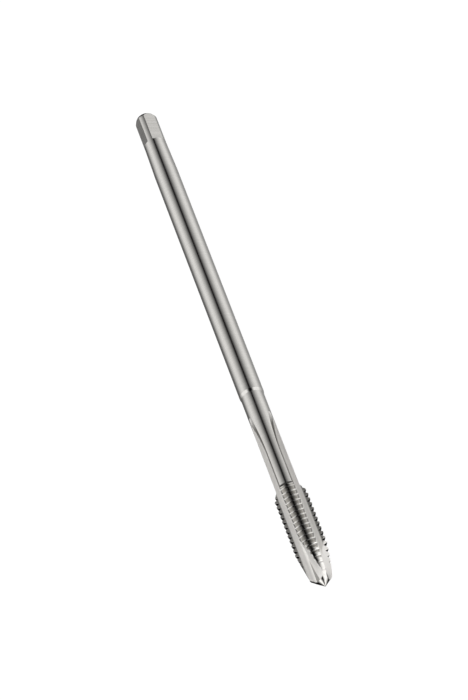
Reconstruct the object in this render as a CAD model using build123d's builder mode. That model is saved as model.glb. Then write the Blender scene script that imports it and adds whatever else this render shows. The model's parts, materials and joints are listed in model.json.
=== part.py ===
"""Long-shank machine tap, 5/16-18 UNC, with three straight flutes and a spiral point.

The tap is shaped standing on its point, Z running from the point to the drive end, with
the land that faces the viewer at -Y. It is then laid down along X, point towards +X, so
that it rests on two lands with a flute straight below.
"""
import os
from math import cos, radians, sin, tan

from build123d import *

# Thread
thread_diameter = 7.94
pitch = 1.411               # 18 threads per inch
crest_flat = 0.16
root_flat = 0.06
thread_end = 26.35          # where the full thread stops, measured from the point
thread_phase = 0.62         # height of the groove at angle 0, sets which crest shows where

# Point and lead
point_angle = 88.0          # included angle of the male centre
point_flat = 0.3            # diameter of the blunt end of the point
lead_diameter = 5.72        # at the small end of the lead
lead_end = 10.55            # where the lead reaches the full diameter

# Body behind the thread
neck_diameter = 5.65
neck_end = 56.15
shank_diameter = 6.0
shank_step_angle = 12.5     # slope of the step from neck to shank
back_taper_angle = 30.0     # slope of the thread's rear end
overall_length = 150.0

# Drive end
relief_start = 131.0        # the shank runs very slightly down towards the square
corner_diameter = 5.64
square_width = 4.85
square_length = 9.2
square_radius = 0.15
end_chamfer = 0.9
end_chamfer_angle = 30.0

# Flutes, three, ground by a wheel of this radius that lifts out on the neck
flute_count = 3
flute_angle = 79.0
flute_radius = 1.0
web_diameter = 2.8
flute_direction = -59.4     # of the first flute, from the viewer's land
flute_full_end = 38.5
wheel_radius = 46.0

# Spiral point, a gash on the leading side of each land. Its face twists: at each height it
# runs from a foot near the web to an edge on the land, both given across and towards the viewer.
gash_length = 13.1
gash_faces = (
    (1.2, (-0.58, 1.29), (0.28, 1.75)),
    (3.0, (-0.82, 1.05), (0.53, 2.87)),
    (6.2, (-1.20, 0.62), (-0.24, 3.35)),
    (9.3, (-1.50, 0.60), (-0.88, 3.70)),
    (gash_length, (-1.15, 1.55), (-1.82, 3.55)),
)
gash_start = (-1.75, 0.30)  # where the floor begins, beside the flute's bottom

square_direction = 30.5     # of one flat, from the viewer's land

r_major = thread_diameter / 2
r_neck = neck_diameter / 2
r_shank = shank_diameter / 2
r_lead = lead_diameter / 2
r_corner = corner_diameter / 2
groove_depth = (pitch - crest_flat - root_flat) / 2 / tan(radians(30))
r_root = r_major - groove_depth


# Turned blank, from the point up to the drive end
cone_length = (r_lead - point_flat / 2) / tan(radians(point_angle / 2))
rear_length = (r_major - r_neck) / tan(radians(back_taper_angle))
step_length = (r_shank - r_neck) / tan(radians(shank_step_angle))
square_start = overall_length - square_length
r_end = r_corner - end_chamfer * tan(radians(end_chamfer_angle))
outline = [
    (0, 0), (point_flat / 2, 0), (r_lead, cone_length), (r_major, lead_end), (r_major, thread_end),
    (r_neck, thread_end + rear_length), (r_neck, neck_end), (r_shank, neck_end + step_length),
    (r_shank, relief_start), (r_corner, square_start - 0.6), (r_corner, overall_length - end_chamfer),
    (r_end, overall_length), (0, overall_length),
]

# One stretch of the thread groove, from mid-flute to mid-flute across a land. Turned and
# raised step by step it makes the whole thread, which runs out past both ends of it.
stretch = 360 / flute_count - 4
over = 0.6 * crest_flat / 2 / tan(radians(30))    # short of where neighbouring turns would meet
mouth = root_flat / 2 + (groove_depth + over) * tan(radians(30))
with BuildPart() as groove:
    with BuildLine() as helix:
        Helix(pitch=pitch, height=pitch * stretch / 360, radius=r_root)
    with BuildSketch(Plane(origin=(r_root, 0, 0), x_dir=(1, 0, 0), z_dir=(0, -1, 0))):
        with BuildLine():
            Polyline((0, -root_flat / 2), (groove_depth + over, -mouth),
                     (groove_depth + over, mouth), (0, root_flat / 2), close=True)
        make_face()
    sweep(path=helix.line, is_frenet=True)
groove_angle = -90 - stretch / 2
groove_base = thread_phase % pitch + pitch * groove_angle / 360 + pitch
groove_rise = pitch / flute_count
groove_steps = int((thread_end + rear_length + pitch - groove_base) / groove_rise)
groove_places = [
    Location((0, 0, groove_base + i * groove_rise), (0, 0, groove_angle + i * 360 / flute_count))
    for i in range(groove_steps)
]

# One flute cutter: a V with a round bottom, straight along the lands, then a wheel's arc
half = radians(flute_angle / 2)
reach = r_major + 1.0
bottom = web_diameter / 2
centre = bottom + flute_radius
touch = (centre - flute_radius * sin(half), flute_radius * cos(half))
side = touch[1] + (reach - touch[0]) * tan(half)
turn = radians(flute_direction - 90)
flute_plane = Plane(origin=(0, 0, flute_full_end), x_dir=(cos(turn), sin(turn), 0), z_dir=(0, 0, 1))
with BuildPart() as flute:
    with BuildSketch(flute_plane) as flute_section:
        with BuildLine():
            ThreePointArc((touch[0], -touch[1]), (bottom, 0), touch)
            Polyline(touch, (reach, side), (reach, -side), (touch[0], -touch[1]))
        make_face()
    extrude(amount=-(flute_full_end + 1.0))
    wheel_axis = Axis(flute_plane.from_local_coords((bottom + wheel_radius, 0, 0)), flute_plane.y_dir)
    revolve(flute_section.sketch, axis=wheel_axis, revolution_arc=35)

# One gash, lofted through its sections: floor, face, then round outside the flute
gash_sections = [(-1.0, *gash_faces[0][1:]), *gash_faces]
away = (12 * sin(radians(flute_direction)), 12 * cos(radians(flute_direction)))
with BuildPart() as gash:
    for height, foot, edge in gash_sections:
        scale = 12 / ((edge[0] - foot[0]) ** 2 + (edge[1] - foot[1]) ** 2) ** 0.5
        end = (foot[0] + scale * (edge[0] - foot[0]), foot[1] + scale * (edge[1] - foot[1]))
        corners = [gash_start, foot, end, (end[0], 14), (-12, 14), away]
        with BuildSketch(Plane.XY.offset(height)):
            with BuildLine():
                Polyline(*[(x, -y) for x, y in corners], close=True)
            make_face()
    loft()

# One flat of the drive square, with the cutter's radius where it runs out
with BuildPart() as flat:
    turn = radians(square_direction - 90)
    with BuildSketch(Plane(origin=(0, 0, 0), x_dir=(cos(turn), sin(turn), 0), z_dir=(sin(turn), -cos(turn), 0))):
        with BuildLine():
            w = square_width / 2
            Line((w, overall_length + 1), (w, square_start))
            ThreePointArc((w, square_start),
                          (w + square_radius * (1 - cos(radians(45))), square_start - square_radius * sin(radians(45))),
                          (w + square_radius, square_start - square_radius))
            Polyline((w + square_radius, square_start - square_radius), (w + 4, square_start - square_radius),
                     (w + 4, overall_length + 1), (w, overall_length + 1))
        make_face()
    extrude(amount=shank_diameter, both=True)

with BuildPart() as tap:
    with BuildSketch(Plane.XZ):
        with BuildLine():
            Polyline(*outline, close=True)
        make_face()
    revolve(axis=Axis.Z)
    with PolarLocations(0, flute_count):
        add(flute.part, mode=Mode.SUBTRACT)
    with PolarLocations(0, flute_count):
        add(gash.part, mode=Mode.SUBTRACT)
    with Locations(*groove_places):
        add(groove.part, mode=Mode.SUBTRACT)
    with PolarLocations(0, 4):
        add(flat.part, mode=Mode.SUBTRACT)

laid = Plane(origin=(overall_length, 0, 0), x_dir=(0, 1, 0), z_dir=(-1, 0, 0))
with BuildPart() as body:
    add(laid.location * tap.part)
body.part.label = "tap"

os.makedirs("parts", exist_ok=True)
export_step(body.part, "parts/tap.step")
print("tap", body.part.is_valid, len(body.part.solids()), "solids", len(body.part.faces()), "faces",
      round(body.part.volume, 1), "mm3", body.part.bounding_box())
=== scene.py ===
"""Ground finishes for a machine tap, and the light tent it is shown in."""

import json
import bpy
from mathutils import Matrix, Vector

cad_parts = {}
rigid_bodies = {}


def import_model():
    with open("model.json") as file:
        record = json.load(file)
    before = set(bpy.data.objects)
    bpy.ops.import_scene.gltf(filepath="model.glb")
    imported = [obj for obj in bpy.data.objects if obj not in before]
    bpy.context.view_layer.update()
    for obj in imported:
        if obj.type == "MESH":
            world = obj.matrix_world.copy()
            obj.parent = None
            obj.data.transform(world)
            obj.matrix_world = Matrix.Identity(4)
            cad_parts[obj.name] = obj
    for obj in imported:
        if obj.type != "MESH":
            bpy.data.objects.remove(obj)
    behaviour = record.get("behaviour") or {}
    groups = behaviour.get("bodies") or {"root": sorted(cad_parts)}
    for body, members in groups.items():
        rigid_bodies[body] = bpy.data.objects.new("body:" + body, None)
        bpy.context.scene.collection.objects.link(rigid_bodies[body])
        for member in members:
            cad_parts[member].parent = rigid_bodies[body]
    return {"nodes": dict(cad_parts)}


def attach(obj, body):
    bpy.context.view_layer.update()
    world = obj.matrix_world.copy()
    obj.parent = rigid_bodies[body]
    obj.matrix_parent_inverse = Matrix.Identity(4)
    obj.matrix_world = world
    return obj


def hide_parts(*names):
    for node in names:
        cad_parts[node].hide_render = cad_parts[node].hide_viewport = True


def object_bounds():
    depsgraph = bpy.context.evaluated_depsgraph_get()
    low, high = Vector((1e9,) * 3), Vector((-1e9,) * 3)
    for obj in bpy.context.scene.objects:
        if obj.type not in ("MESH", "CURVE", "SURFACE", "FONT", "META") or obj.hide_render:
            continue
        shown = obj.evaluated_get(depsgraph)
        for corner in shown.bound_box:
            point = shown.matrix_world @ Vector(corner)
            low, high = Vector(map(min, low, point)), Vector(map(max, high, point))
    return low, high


bl_info = {
    "name": "Ground Machine Tap",
    "version": (1, 0, 0),
    "blender": (4, 5, 0),
    "location": "View3D > Sidebar > Tap",
    "description": "Gives a machine tap its ground finishes and sets up a light tent round it",
    "category": "Object",
}

from math import cos, pi, radians, sin

import bpy
from bpy.props import FloatProperty, FloatVectorProperty, PointerProperty
from mathutils import Matrix, Vector

for start_object in list(bpy.data.objects):
    bpy.data.objects.remove(start_object)

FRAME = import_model()
CAD_TAP = FRAME["nodes"]["tap"]
CAD_LOW, CAD_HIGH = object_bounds()
MICRON = 0.000001

# Sizes of a finish's lines along X, Y and Z, in millimetres. Real ones are 0.01 to 0.03 mm apart,
# too fine to show here, so they are drawn about 0.1 to 0.2 mm apart.
SHANK_RINGS = (0.11, 3.3, 3.3)
THREAD_RINGS = (0.08, 2.0, 2.0)
FLUTE_LINES = (3.3, 0.11, 0.11)
GASH_LINES = (0.4, 0.11, 0.11)
FLAT_LINES = (0.19, 8.3, 8.3)


def linear(hex_colour):
    """Linear RGBA of an sRGB hex colour such as 'C8C6C2'."""
    channels = [int(hex_colour[i:i + 2], 16) / 255 for i in (0, 2, 4)]
    return (*(c / 12.92 if c <= 0.04045 else ((c + 0.055) / 1.055) ** 2.4 for c in channels), 1.0)


def add(tree, kind, inputs=None, **settings):
    """Adds a node. Settings are its properties; inputs are values, or sockets to link from."""
    made = tree.nodes.new(kind)
    for name, value in settings.items():
        setattr(made, name, value)
    for key, value in (inputs or {}).items():
        if isinstance(value, bpy.types.NodeSocket):
            tree.links.new(value, made.inputs[key])
        else:
            made.inputs[key].default_value = value
    return made


def empty_material(name):
    """A material with nothing in its tree yet, and that tree."""
    material = bpy.data.materials.new(name)
    material.use_nodes = True
    material.node_tree.nodes.clear()
    return material, material.node_tree


def ground_steel(name, colour, roughness, line_mm, dark_lines, groove=MICRON, edge=0.0, glint=0.0,
                 flute=None):
    """Ground high-speed steel. The wheel leaves fine parallel lines, so tone and roughness vary
    fast across them and slowly along them. line_mm is a line's size, dark_lines is how much darker
    the deepest lines are, and groove is their depth. edge is how far sharp corners are rounded to
    the eye, and glint stretches highlights across rings round the axis. flute is for the flutes
    alone, and holds the sizes and the colour of the shade painted on their bottoms and rims."""
    material, tree = empty_material(name)
    place = add(tree, "ShaderNodeTexCoord").outputs["Object"]
    # fine lines, and broader bands of them
    noises = []
    for widening, detail, crispness in ((1.0, 3.0, 0.6), (4.5, 2.0, 0.5)):
        cells = tuple(1000 / (size * widening) for size in line_mm)
        stretched = add(tree, "ShaderNodeMapping", {"Vector": place, "Scale": cells})
        noise = add(tree, "ShaderNodeTexNoise", {"Vector": stretched.outputs[0], "Scale": 1.0,
                                                 "Detail": detail, "Roughness": crispness})
        noises.append(noise.outputs["Fac"])
    lines = add(tree, "ShaderNodeMath", {0: noises[0], 1: noises[1]}).outputs[0]
    # the two noises add up to between 0.7 and 1.3 nearly everywhere
    spread = {"Value": lines, "From Min": 0.7, "From Max": 1.3}
    tone = add(tree, "ShaderNodeMapRange", spread)
    dull = (*(channel * (1 - dark_lines) for channel in colour[:3]), 1.0)
    shade = add(tree, "ShaderNodeMix", {"Factor": tone.outputs[0], "A": dull, "B": tuple(colour)},
                data_type="RGBA").outputs["Result"]
    # the flutes' bottoms and rims get painted shade and a painted reflection, from flute_shade
    if flute:
        shade = add(tree, "ShaderNodeMix", {"Factor": flute_shade(tree, place, flute), "B": shade,
                                            "A": tuple(flute.painted_shade_colour)},
                    data_type="RGBA").outputs["Result"]
    rough = add(tree, "ShaderNodeMapRange", {**spread, "To Min": roughness * 0.85,
                                             "To Max": roughness * 1.15})
    grooves = add(tree, "ShaderNodeBump", {"Height": noises[0], "Strength": 0.35, "Distance": groove})
    if edge:
        rounded = add(tree, "ShaderNodeBevel", {"Radius": edge}, samples=6)
        tree.links.new(rounded.outputs[0], grooves.inputs["Normal"])
    steel = add(tree, "ShaderNodeBsdfPrincipled", {"Base Color": shade, "Metallic": 1.0,
                                                   "Roughness": rough.outputs[0],
                                                   "Normal": grooves.outputs[0]})
    if glint:
        around = add(tree, "ShaderNodeTangent", direction_type="RADIAL", axis="X")
        tree.links.new(around.outputs[0], steel.inputs["Tangent"])
        steel.inputs["Anisotropic"].default_value = glint
        steel.inputs["Anisotropic Rotation"].default_value = 0.25
    add(tree, "ShaderNodeOutputMaterial", {"Surface": steel.outputs[0]})
    return material


def flute_shade(tree, place, flute):
    """0 where a flute gets painted shade and 1 where it is left bright. Its narrow bottom gets painted
    shade, where the land's wall stands over it and is mirrored in it. The bottom's radius rises
    with the wheel towards the shank, and the painted line fades out there, and at the other end
    where the gash starts. Beyond the neck's radius the flank gets a painted reflection of the
    land's wall too, as a real flute mirrors it where it curls up towards the land."""
    shade_low, shade_high = 0.00018, 0.00048      # above the bottom, where its painted shade ends
    rise_low, rise_high = 0.0007, 0.0014            # how far the wheel has lifted where the line fades
    gash_fade = 0.003                               # how far before the gash it fades
    rim_width = 0.00033                             # from the neck's radius to where the rim's painted reflection is darkest
    painted_rim_tone = 0.16
    way = add(tree, "ShaderNodeSeparateXYZ", {0: place})
    cross = add(tree, "ShaderNodeCombineXYZ", {1: way.outputs[1], 2: way.outputs[2]})
    radius = add(tree, "ShaderNodeVectorMath", {0: cross.outputs[0]}, operation="LENGTH").outputs["Value"]
    back = add(tree, "ShaderNodeMath", {0: flute.lift_start, 1: way.outputs[0]}, operation="SUBTRACT",
               use_clamp=True)
    squared = add(tree, "ShaderNodeMath", {0: back.outputs[0], 1: 2.0}, operation="POWER")
    rise = add(tree, "ShaderNodeMath", {0: squared.outputs[0], 1: 2 * flute.wheel_radius},
               operation="DIVIDE").outputs[0]
    bottom = add(tree, "ShaderNodeMath", {0: rise, 1: flute.web_radius})
    depth = add(tree, "ShaderNodeMath", {0: radius, 1: bottom.outputs[0]}, operation="SUBTRACT")
    above = add(tree, "ShaderNodeMapRange", {"Value": depth.outputs[0], "From Min": shade_low,
                                             "From Max": shade_high}, interpolation_type="SMOOTHSTEP")
    run_out = add(tree, "ShaderNodeMapRange", {"Value": rise, "From Min": rise_low, "From Max": rise_high})
    gashed = add(tree, "ShaderNodeMapRange", {"Value": way.outputs[0], "From Max": flute.gash_start,
                                              "From Min": flute.gash_start - gash_fade})
    ends = add(tree, "ShaderNodeMath", {0: run_out.outputs[0], 1: gashed.outputs[0]}, operation="MAXIMUM")
    line = add(tree, "ShaderNodeMath", {0: above.outputs[0], 1: ends.outputs[0]}, operation="MAXIMUM")
    rim = add(tree, "ShaderNodeMapRange", {"Value": radius, "From Min": flute.neck_radius,
                                           "From Max": flute.neck_radius + rim_width, "To Min": 1.0,
                                           "To Max": painted_rim_tone}, interpolation_type="SMOOTHSTEP")
    darkest = add(tree, "ShaderNodeMath", {0: line.outputs[0], 1: rim.outputs[0]}, operation="MINIMUM")
    return darkest.outputs[0]


class TapFinishSettings(bpy.types.PropertyGroup):
    """Where each finish starts and stops on the tool, measured from its drive end, and its colour."""
    square_length: FloatProperty(name="Square length", description="How far the drive flats reach",
                                 default=0.0093, unit="LENGTH", precision=4)
    flute_start: FloatProperty(name="Flute start", description="Where the flutes run out on the neck",
                               default=0.0995, unit="LENGTH", precision=4)
    lift_start: FloatProperty(name="Lift start", description="Where the flute wheel starts to lift out",
                              default=0.1115, unit="LENGTH", precision=4)
    thread_start: FloatProperty(name="Thread start", description="Where the thread's rear chamfer starts",
                                default=0.1216, unit="LENGTH", precision=4)
    gash_start: FloatProperty(name="Gash start", description="Where the spiral point's gashes start",
                              default=0.1368, unit="LENGTH", precision=4)
    cone_start: FloatProperty(name="Cone start", description="Where the pointed end starts",
                              default=0.1474, unit="LENGTH", precision=4)
    length: FloatProperty(name="Length", description="Overall length of the tool", default=CAD_HIGH[0],
                          unit="LENGTH", precision=4)
    neck_radius: FloatProperty(name="Neck radius", description="Radius of the relieved neck",
                               default=0.002825, unit="LENGTH", precision=6)
    web_radius: FloatProperty(name="Web radius", description="Radius that the flutes' bottoms lie at",
                              default=0.0014, unit="LENGTH", precision=6)
    wheel_radius: FloatProperty(name="Wheel radius", description="Radius of the wheel that ground the flutes",
                                default=0.046, unit="LENGTH", precision=4)
    shank_colour: FloatVectorProperty(name="Shank colour", description="Centreless-ground round stock",
                                      subtype="COLOR", size=4, default=linear("DAD8D4"), min=0.0, max=1.0)
    crest_colour: FloatVectorProperty(name="Crest colour", description="Tops of the thread",
                                      subtype="COLOR", size=4, default=linear("F6F4F0"), min=0.0, max=1.0)
    flank_colour: FloatVectorProperty(name="Flank colour", description="Sides of the thread",
                                      subtype="COLOR", size=4, default=linear("D0CECA"), min=0.0, max=1.0)
    flute_colour: FloatVectorProperty(name="Flute colour", description="Flanks of the flutes",
                                      subtype="COLOR", size=4, default=linear("F8F6F3"), min=0.0, max=1.0)
    # painted shade and painted reflection for the flutes' bottoms and rims
    painted_shade_colour: FloatVectorProperty(name="Flute painted shade colour", description="Painted shade on the bottoms and rims of the flutes",
                                       subtype="COLOR", size=4, default=linear("777571"), min=0.0, max=1.0)
    gash_colour: FloatVectorProperty(name="Gash colour", description="Cutting faces of the spiral point",
                                     subtype="COLOR", size=4, default=linear("F6F4F1"), min=0.0, max=1.0)
    # painted shade for the gashes' floors, standing in for the shading of their form
    gash_floor_shade_colour: FloatVectorProperty(name="Gash floor shade colour", description="Painted shade on the floors beside those faces",
                                           subtype="COLOR", size=4, default=linear("ACAAA6"), min=0.0,
                                           max=1.0)
    flats_colour: FloatVectorProperty(name="Flats colour", description="Flats of the drive square",
                                      subtype="COLOR", size=4, default=linear("D6D4D0"), min=0.0, max=1.0)


class TentSettings(bpy.types.PropertyGroup):
    """The light tent, its table and the camera."""
    table_colour: FloatVectorProperty(name="Table colour", description="Pale table top", subtype="COLOR",
                                      size=4, default=linear("F7F7F7"), min=0.0, max=1.0)
    ridge_turn: FloatProperty(name="Ridge turn", description="How far to the right the dark ridge lies",
                              default=radians(5), subtype="ANGLE")
    crown: FloatProperty(name="Crown", description="Brightness of the tent over the tool", default=1.27)
    far_end: FloatProperty(name="Far end", description="Brightness of the tent beyond the tool's point",
                           default=0.27)
    aim: FloatVectorProperty(name="Aim", description="The point at the middle of the view",
                             default=(0.077284, -0.00006, -0.001765), subtype="TRANSLATION", size=3)
    distance: FloatProperty(name="Distance", description="From that point to the camera",
                            default=0.750137, unit="LENGTH", precision=4)
    elevation: FloatProperty(name="Elevation", description="Angle of the view above the table",
                             default=radians(52.3), subtype="ANGLE")
    roll: FloatProperty(name="Roll", description="How far the camera is turned about its view",
                        default=radians(-21.1068), subtype="ANGLE")
    lens: FloatProperty(name="Lens", description="Focal length in millimetres", default=162.41,
                        unit="CAMERA")


# The sizes that the finishes' zones follow, which are the inputs of their geometry nodes
SIZES = ("square_length", "flute_start", "thread_start", "gash_start", "cone_start", "length", "neck_radius")


def finish_tree(finishes):
    """Geometry nodes that sort the tool's faces by place and slope, and give each its finish."""
    land_spacing = radians(120)
    first_bearing = radians(-85)    # the gash beside the top land lies between this and 35 degrees
    foot_at_point = -0.00045        # how far across the foot of the gash's face is, at the point
    foot_lean = -0.118              # and how much further for each unit back from the point
    flute_across = -0.00178         # how far across the flute's side of the gash's floor is
    tree = bpy.data.node_groups.new("Tap finishes", "GeometryNodeTree")
    tree.is_modifier = True
    tree.interface.new_socket("Geometry", in_out="OUTPUT", socket_type="NodeSocketGeometry")
    tree.interface.new_socket("Tool", in_out="INPUT", socket_type="NodeSocketObject")
    for size in SIZES:
        tree.interface.new_socket(size, in_out="INPUT", socket_type="NodeSocketFloat")
    group = add(tree, "NodeGroupInput")
    place = add(tree, "ShaderNodeSeparateXYZ", {0: add(tree, "GeometryNodeInputPosition").outputs[0]})
    slope = add(tree, "ShaderNodeSeparateXYZ", {0: add(tree, "GeometryNodeInputNormal").outputs[0]})
    value = {size: group.outputs[size] for size in SIZES}
    value.update(zip(("x", "y", "z"), place.outputs))
    value.update(zip(("slope_x", "slope_y", "slope_z"), slope.outputs))

    # Each row works out one value from two others. True is 1, so MINIMUM is "and", MAXIMUM "or".
    # radius is from the axis, and outward is 1 where a face looks straight away from the axis.
    for name, operation, first, second in (
        ("steep", "ABSOLUTE", "slope_x", 0.0),
        ("y_square", "MULTIPLY", "y", "y"),
        ("z_square", "MULTIPLY", "z", "z"),
        ("square", "ADD", "y_square", "z_square"),
        ("radius", "SQRT", "square", 0.0),
        ("out_y", "MULTIPLY", "y", "slope_y"),
        ("out_z", "MULTIPLY", "z", "slope_z"),
        ("out", "ADD", "out_y", "out_z"),
        ("outward", "DIVIDE", "out", "radius"),
        ("looks_aside", "LESS_THAN", "outward", 0.8),
        ("under_neck_radius", "MULTIPLY", "neck_radius", 0.985),
        ("inside", "LESS_THAN", "radius", "under_neck_radius"),
        ("lengthwise", "LESS_THAN", "steep", 0.6),
        ("cut", "MAXIMUM", "inside", "looks_aside"),
        ("hollow", "MINIMUM", "cut", "lengthwise"),

        ("under_flat", "MULTIPLY", "neck_radius", 0.975),
        ("at_square", "LESS_THAN", "x", "square_length"),
        ("not_end_face", "LESS_THAN", "steep", 0.5),
        ("near_axis", "LESS_THAN", "radius", "under_flat"),
        ("square_side", "MINIMUM", "at_square", "not_end_face"),
        ("flats", "MINIMUM", "square_side", "near_axis"),

        ("past_thread_start", "GREATER_THAN", "x", "thread_start"),
        ("before_cone", "LESS_THAN", "x", "cone_start"),
        ("crest", "MINIMUM", "past_thread_start", "before_cone"),
        ("leaning", "GREATER_THAN", "steep", 0.4),
        ("flank", "MINIMUM", "crest", "leaning"),

        ("past_flute_start", "GREATER_THAN", "x", "flute_start"),
        ("before_thread", "LESS_THAN", "x", "thread_start"),
        ("on_neck", "MINIMUM", "past_flute_start", "before_thread"),
        ("rising", "GREATER_THAN", "slope_x", 0.03),
        ("not_round", "LESS_THAN", "outward", 0.9),
        ("not_step", "GREATER_THAN", "slope_x", -0.3),
        ("sunk", "MAXIMUM", "rising", "inside"),
        ("ground_away", "MAXIMUM", "sunk", "not_round"),
        ("neck_cut", "MINIMUM", "on_neck", "ground_away"),
        ("run_out", "MINIMUM", "neck_cut", "not_step"),
        ("thread_flute", "MINIMUM", "past_thread_start", "hollow"),
        ("flute", "MAXIMUM", "thread_flute", "run_out"),

        ("past_gash_start", "GREATER_THAN", "x", "gash_start"),
        ("at_gash", "MINIMUM", "past_gash_start", "hollow"),
        ("twisted", "GREATER_THAN", "steep", 0.015),
        ("gash", "MINIMUM", "at_gash", "twisted"),
        # The lands repeat, so each gash is looked at as if it were the top one. Its floor lies
        # between the flute and the foot of the gash's face.
        ("angle", "ARCTAN2", "y", "z"),
        ("turned", "SUBTRACT", "angle", first_bearing),
        ("within_turn", "FLOORED_MODULO", "turned", land_spacing),
        ("bearing", "ADD", "within_turn", first_bearing),
        ("sine", "SINE", "bearing", 0.0),
        ("across", "MULTIPLY", "radius", "sine"),
        ("from_point", "SUBTRACT", "length", "x"),
        ("leant", "MULTIPLY", "from_point", foot_lean),
        ("foot", "ADD", "leant", foot_at_point),
        ("before_foot", "LESS_THAN", "across", "foot"),
        ("past_flute", "GREATER_THAN", "across", flute_across),
        ("between", "MINIMUM", "before_foot", "past_flute"),
        ("gash_floor", "MINIMUM", "at_gash", "between"),
    ):
        given = {0: value.get(first, first), 1: value.get(second, second)}
        value[name] = add(tree, "ShaderNodeMath", given, operation=operation, label=name).outputs[0]

    tool = add(tree, "GeometryNodeObjectInfo", {"Object": group.outputs["Tool"]})
    shape = add(tree, "GeometryNodeRealizeInstances", {"Geometry": tool.outputs["Geometry"]}).outputs[0]
    shape = add(tree, "GeometryNodeSetMaterial", {"Geometry": shape,
                                                  "Material": finishes["shank"]}).outputs[0]
    for zone in ("crest", "flank", "flute", "gash", "gash_floor", "flats"):
        shape = add(tree, "GeometryNodeSetMaterial", {"Geometry": shape, "Selection": value[zone],
                                                      "Material": finishes[zone]}).outputs[0]
    add(tree, "NodeGroupOutput", {"Geometry": shape})
    return tree


class TAP_OT_finish_tool(bpy.types.Operator):
    """Gives the tool's shank, thread, flutes, gashes and drive flats their own ground finishes"""
    bl_idname = "tap.finish_tool"
    bl_label = "Finish the tap"

    def execute(self, context):
        settings = context.scene.tap_finish
        rounding = 0.0003
        finishes = {
            # centreless-ground round stock: bright, with faint rings round the axis
            "shank": ground_steel("centreless_ground_steel", settings.shank_colour, roughness=0.16,
                                  line_mm=SHANK_RINGS, dark_lines=0.08, glint=0.4),
            # thread crests keep the ground blank's bright rings, and their corners catch the light
            "crest": ground_steel("ground_crest_steel", settings.crest_colour, roughness=0.06,
                                  line_mm=SHANK_RINGS, dark_lines=0.06, edge=rounding),
            # thread flanks are ground by a profiled wheel: greyer, with finer rings
            "flank": ground_steel("ground_flank_steel", settings.flank_colour, roughness=0.06,
                                  line_mm=THREAD_RINGS, dark_lines=0.08, edge=rounding),
            # flutes are ground end to end by a profiled wheel: light and satin, lines along the tool, with
            # painted shade on their bottoms and rims
            "flute": ground_steel("flute_steel_with_painted_shade", settings.flute_colour, roughness=0.68,
                                  line_mm=FLUTE_LINES, dark_lines=0.08, groove=2 * MICRON, flute=settings),
            # the spiral point's faces are ground last: light and satin, short lines along the tool
            "gash": ground_steel("ground_gash_steel", settings.gash_colour, roughness=0.7,
                                 line_mm=GASH_LINES, dark_lines=0.08),
            # the wheel's edge grinds the gashes' floors: greyer than their faces, a painted shade of the
            # floor's form
            "gash_floor": ground_steel("gash_floor_painted_shade_steel", settings.gash_floor_shade_colour,
                                       roughness=0.5, line_mm=GASH_LINES, dark_lines=0.1),
            # drive flats are ground straight across: half bright, with broad lines across
            "flats": ground_steel("surface_ground_steel", settings.flats_colour, roughness=0.22,
                                  line_mm=FLAT_LINES, dark_lines=0.2, groove=3 * MICRON),
        }
        tree = finish_tree(finishes)
        maker = bpy.data.objects.new("finish_maker", bpy.data.meshes.new("finish_maker"))
        context.collection.objects.link(maker)
        modifier = maker.modifiers.new("Tap finishes", "NODES")
        modifier.node_group = tree
        inputs = tree.interface.items_tree
        modifier[inputs["Tool"].identifier] = CAD_TAP
        for size in SIZES:
            modifier[inputs[size].identifier] = getattr(settings, size)
        evaluated = maker.evaluated_get(context.evaluated_depsgraph_get())
        mesh = bpy.data.meshes.new_from_object(evaluated)
        bpy.data.objects.remove(maker)
        mesh.name = "ground_tap"
        if not mesh.polygons:
            raise RuntimeError("The finished tap came out empty")
        tool = bpy.data.objects.new("ground_tap", mesh)
        context.collection.objects.link(tool)
        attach(tool, "root")
        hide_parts("tap")
        return {"FINISHED"}


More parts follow.
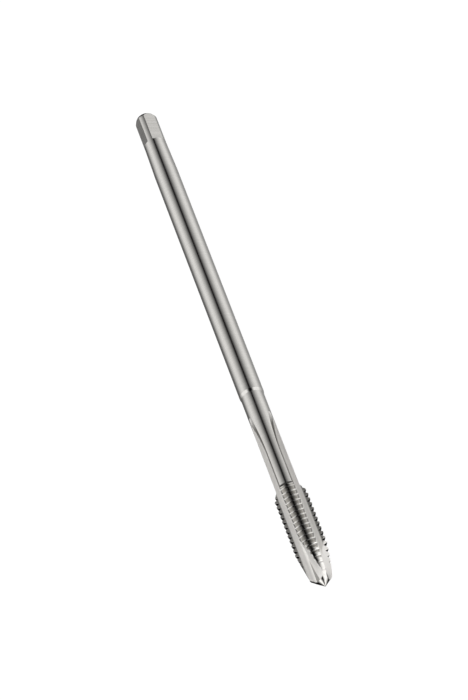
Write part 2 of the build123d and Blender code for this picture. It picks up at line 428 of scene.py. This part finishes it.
def tent_brightness(tree, settings):
    """Brightness of the tent, by direction. Behind the tool the tent is dark along its ridge and
    brightens down both sides, and its back wall is dark. Its crown, over the tool, is bright but
    for a wider ridge. Its far end, beyond the point, is dim, and darkest in the middle. Its lower
    half is dimmer than the walls, more so on the left and most ahead."""
    direction = add(tree, "ShaderNodeTexCoord").outputs["Generated"]
    value = dict(zip(("x", "y", "z"), add(tree, "ShaderNodeSeparateXYZ", {0: direction}).outputs))
    angle = add(tree, "ShaderNodeMath", {0: value["y"], 1: value["z"]}, operation="ARCTAN2")
    turned = add(tree, "ShaderNodeMath", {0: angle.outputs[0], 1: settings.ridge_turn}, operation="SUBTRACT")
    value["down"] = add(tree, "ShaderNodeMath", {0: turned.outputs[0]}, operation="ABSOLUTE").outputs[0]
    value["aside"] = add(tree, "ShaderNodeMath", {0: value["y"]}, operation="ABSOLUTE").outputs[0]
    value["tilted"] = add(tree, "ShaderNodeMath", {0: value["y"], 1: 0.5, 2: value["z"]},
                          operation="MULTIPLY_ADD").outputs[0]

    # down from the ridge the sides brighten to full at about 70 degrees, and then darken again
    share = add(tree, "ShaderNodeMath", {0: value["down"], 1: pi}, operation="DIVIDE")
    side = add(tree, "ShaderNodeValToRGB", {0: share.outputs[0]})
    stops = side.color_ramp.elements
    stops[0].color = (0.0, 0.0, 0.0, 1.0)
    stops[1].color = (0.3, 0.3, 0.3, 1.0)
    for degrees, light in ((4, 0.01), (9, 0.11), (21, 0.33), (35, 0.58), (50, 0.84), (63, 1.0), (80, 0.98),
                           (92, 0.8), (99, 0.68), (112, 0.46), (122, 0.36)):
        stops.new(degrees / 180).color = (light, light, light, 1.0)
    value["side"] = side.outputs[0]

    # Each row eases a value from low to high while its source goes from start to stop
    for name, source, start, stop, low, high in (
        ("upward", "z", 0.0, 0.15, 0.0, 1.0),
        ("over", "x", -0.5, -0.2, 0.0, 1.0),
        ("off_ridge", "down", radians(10), radians(36), 0.0, settings.crown),
        ("glint", "x", 0.0, 0.25, 1.0, 1.3),
        ("beyond", "x", 0.72, 0.92, 0.0, 1.0),
        ("off_middle", "aside", 0.0, 0.12, 0.1, 1.0),
        ("to_sides", "down", radians(50), radians(90), 1.0, 2.2),
        ("low_down", "z", -0.5, -0.15, 1.0, 0.0),
        ("left_to_right", "y", -0.3, 0.3, 0.45, 1.1),
        ("under", "z", -0.6, -0.25, 1.0, 0.0),
        ("under_beyond", "tilted", -0.22, -0.12, 1.0, 0.0),
        ("far_ahead", "x", 0.7, 0.85, 0.0, 1.0),
        ("table_ahead", "x", -0.4, -0.1, 1.0, 0.04),
        ("back_wall", "x", -0.97, -0.85, 0.1, 1.0),
    ):
        value[name] = add(tree, "ShaderNodeMapRange", {"Value": value[source], "From Min": start,
                                                       "From Max": stop, "To Min": low, "To Max": high},
                          interpolation_type="SMOOTHSTEP").outputs[0]

    # Each row multiplies two values, or with a third blends from the first to the second by it
    for name, first, second, blend in (
        ("crown", "off_ridge", "glint", None),
        ("overhead", "over", "upward", None),
        ("far_sides", "side", "to_sides", None),
        ("far_middle", "far_sides", "off_middle", None),
        ("far_end", "far_middle", settings.far_end, None),
        ("roof", "side", "crown", "overhead"),
        ("tent", "roof", "far_end", "beyond"),
        ("lean", 1.0, "left_to_right", "low_down"),
        ("below", "under", "under_beyond", "far_ahead"),
        ("table", 1.0, "table_ahead", "below"),
        ("floor_shade", "lean", "table", None),
        ("walls", "tent", "back_wall", None),
        ("light", "walls", "floor_shade", None),
    ):
        pair = (value.get(first, first), value.get(second, second))
        if blend:
            made = add(tree, "ShaderNodeMix", {"Factor": value[blend], "A": pair[0], "B": pair[1]})
        else:
            made = add(tree, "ShaderNodeMath", {0: pair[0], 1: pair[1]}, operation="MULTIPLY")
        value[name] = made.outputs[0]
    return value["light"]


class TAP_OT_light_tent(bpy.types.Operator):
    """Sets up the light tent, its white table and the camera"""
    bl_idname = "tap.light_tent"
    bl_label = "Set up the light tent"

    def execute(self, context):
        settings = context.scene.tap_tent
        context.scene.view_settings.view_transform = "Standard"

        # The tent is the only light. The camera sees plain white instead of its walls.
        tent = bpy.data.worlds.new("light_tent")
        tent.use_nodes = True
        tree = tent.node_tree
        tree.nodes.clear()
        rays = add(tree, "ShaderNodeLightPath")
        seen = add(tree, "ShaderNodeMath", {0: rays.outputs["Is Camera Ray"],
                                            1: rays.outputs["Is Transmission Ray"]}, operation="MAXIMUM")
        graded = tent_brightness(tree, settings)
        strength = add(tree, "ShaderNodeMix", {"Factor": seen.outputs[0], "A": graded, "B": 1.0})
        light = add(tree, "ShaderNodeBackground", {"Color": (1, 1, 1, 1), "Strength": strength.outputs[0]})
        add(tree, "ShaderNodeOutputWorld", {"Surface": light.outputs[0]})
        context.scene.world = tent

        # White laminate: mostly its own glow to the camera, so it is as white as the tent, with
        # enough plain surface to keep the tool's soft shadow. The steel mirrors the tent's lower
        # half in its place, which is what gives the tool its dark edges.
        glow_share = 0.82
        glow_strength = 1.14
        laminate, tree = empty_material("white_laminate")
        rays = add(tree, "ShaderNodeLightPath")
        seen = add(tree, "ShaderNodeMath", {0: rays.outputs["Is Camera Ray"],
                                            1: rays.outputs["Is Transmission Ray"]}, operation="MAXIMUM")
        share = add(tree, "ShaderNodeMath", {0: seen.outputs[0], 1: glow_share}, operation="MULTIPLY")
        surface = add(tree, "ShaderNodeBsdfDiffuse", {"Color": settings.table_colour})
        glow = add(tree, "ShaderNodeEmission", {"Color": (1, 1, 1, 1), "Strength": glow_strength})
        mixed = add(tree, "ShaderNodeMixShader", {0: share.outputs[0], 1: surface.outputs[0],
                                                  2: glow.outputs[0]})
        add(tree, "ShaderNodeOutputMaterial", {"Surface": mixed.outputs[0]})

        # the table reaches far past the view, and the tool rests on it
        half = 20 * CAD_HIGH[0]
        height = CAD_LOW[2]
        corners = [(-half, -half, height), (half, -half, height), (half, half, height), (-half, half, height)]
        mesh = bpy.data.meshes.new("table_top")
        mesh.from_pydata(corners, [], [(0, 1, 2, 3)])
        mesh.materials.append(laminate)
        table = bpy.data.objects.new("table_top", mesh)
        table.visible_glossy = False
        context.collection.objects.link(table)

        # the camera looks back along the tool from beyond its point, fitted to the tool's outline
        view = bpy.data.cameras.new("photo_camera")
        view.sensor_width = 36.0
        view.lens = settings.lens
        view.clip_start = 0.01
        camera = bpy.data.objects.new("photo_camera", view)
        back = Vector((cos(settings.elevation), 0.0, sin(settings.elevation)))
        turn = (-back).to_track_quat("-Z", "Y").to_matrix() @ Matrix.Rotation(settings.roll, 3, "Z")
        stand = Vector(settings.aim) + back * settings.distance
        camera.matrix_world = Matrix.Translation(stand) @ turn.to_4x4()
        context.collection.objects.link(camera)
        context.scene.camera = camera
        return {"FINISHED"}


class TAP_PT_panel(bpy.types.Panel):
    """Sizes and colours of the finishes and of the tent, and the buttons that make them"""
    bl_label = "Tap"
    bl_idname = "TAP_PT_panel"
    bl_space_type = "VIEW_3D"
    bl_region_type = "UI"
    bl_category = "Tap"

    def draw(self, context):
        for settings, operator in ((context.scene.tap_finish, TAP_OT_finish_tool),
                                   (context.scene.tap_tent, TAP_OT_light_tent)):
            for name in settings.__annotations__:
                self.layout.prop(settings, name)
            self.layout.operator(operator.bl_idname)


CLASSES = (TapFinishSettings, TentSettings, TAP_OT_finish_tool, TAP_OT_light_tent, TAP_PT_panel)


def register():
    for each in CLASSES:
        bpy.utils.register_class(each)
    bpy.types.Scene.tap_finish = PointerProperty(type=TapFinishSettings)
    bpy.types.Scene.tap_tent = PointerProperty(type=TentSettings)


def unregister():
    del bpy.types.Scene.tap_tent
    del bpy.types.Scene.tap_finish
    for each in reversed(CLASSES):
        bpy.utils.unregister_class(each)


def main():
    register()
    bpy.ops.tap.finish_tool()
    bpy.ops.tap.light_tent()


if __name__ == "__main__":
    main()
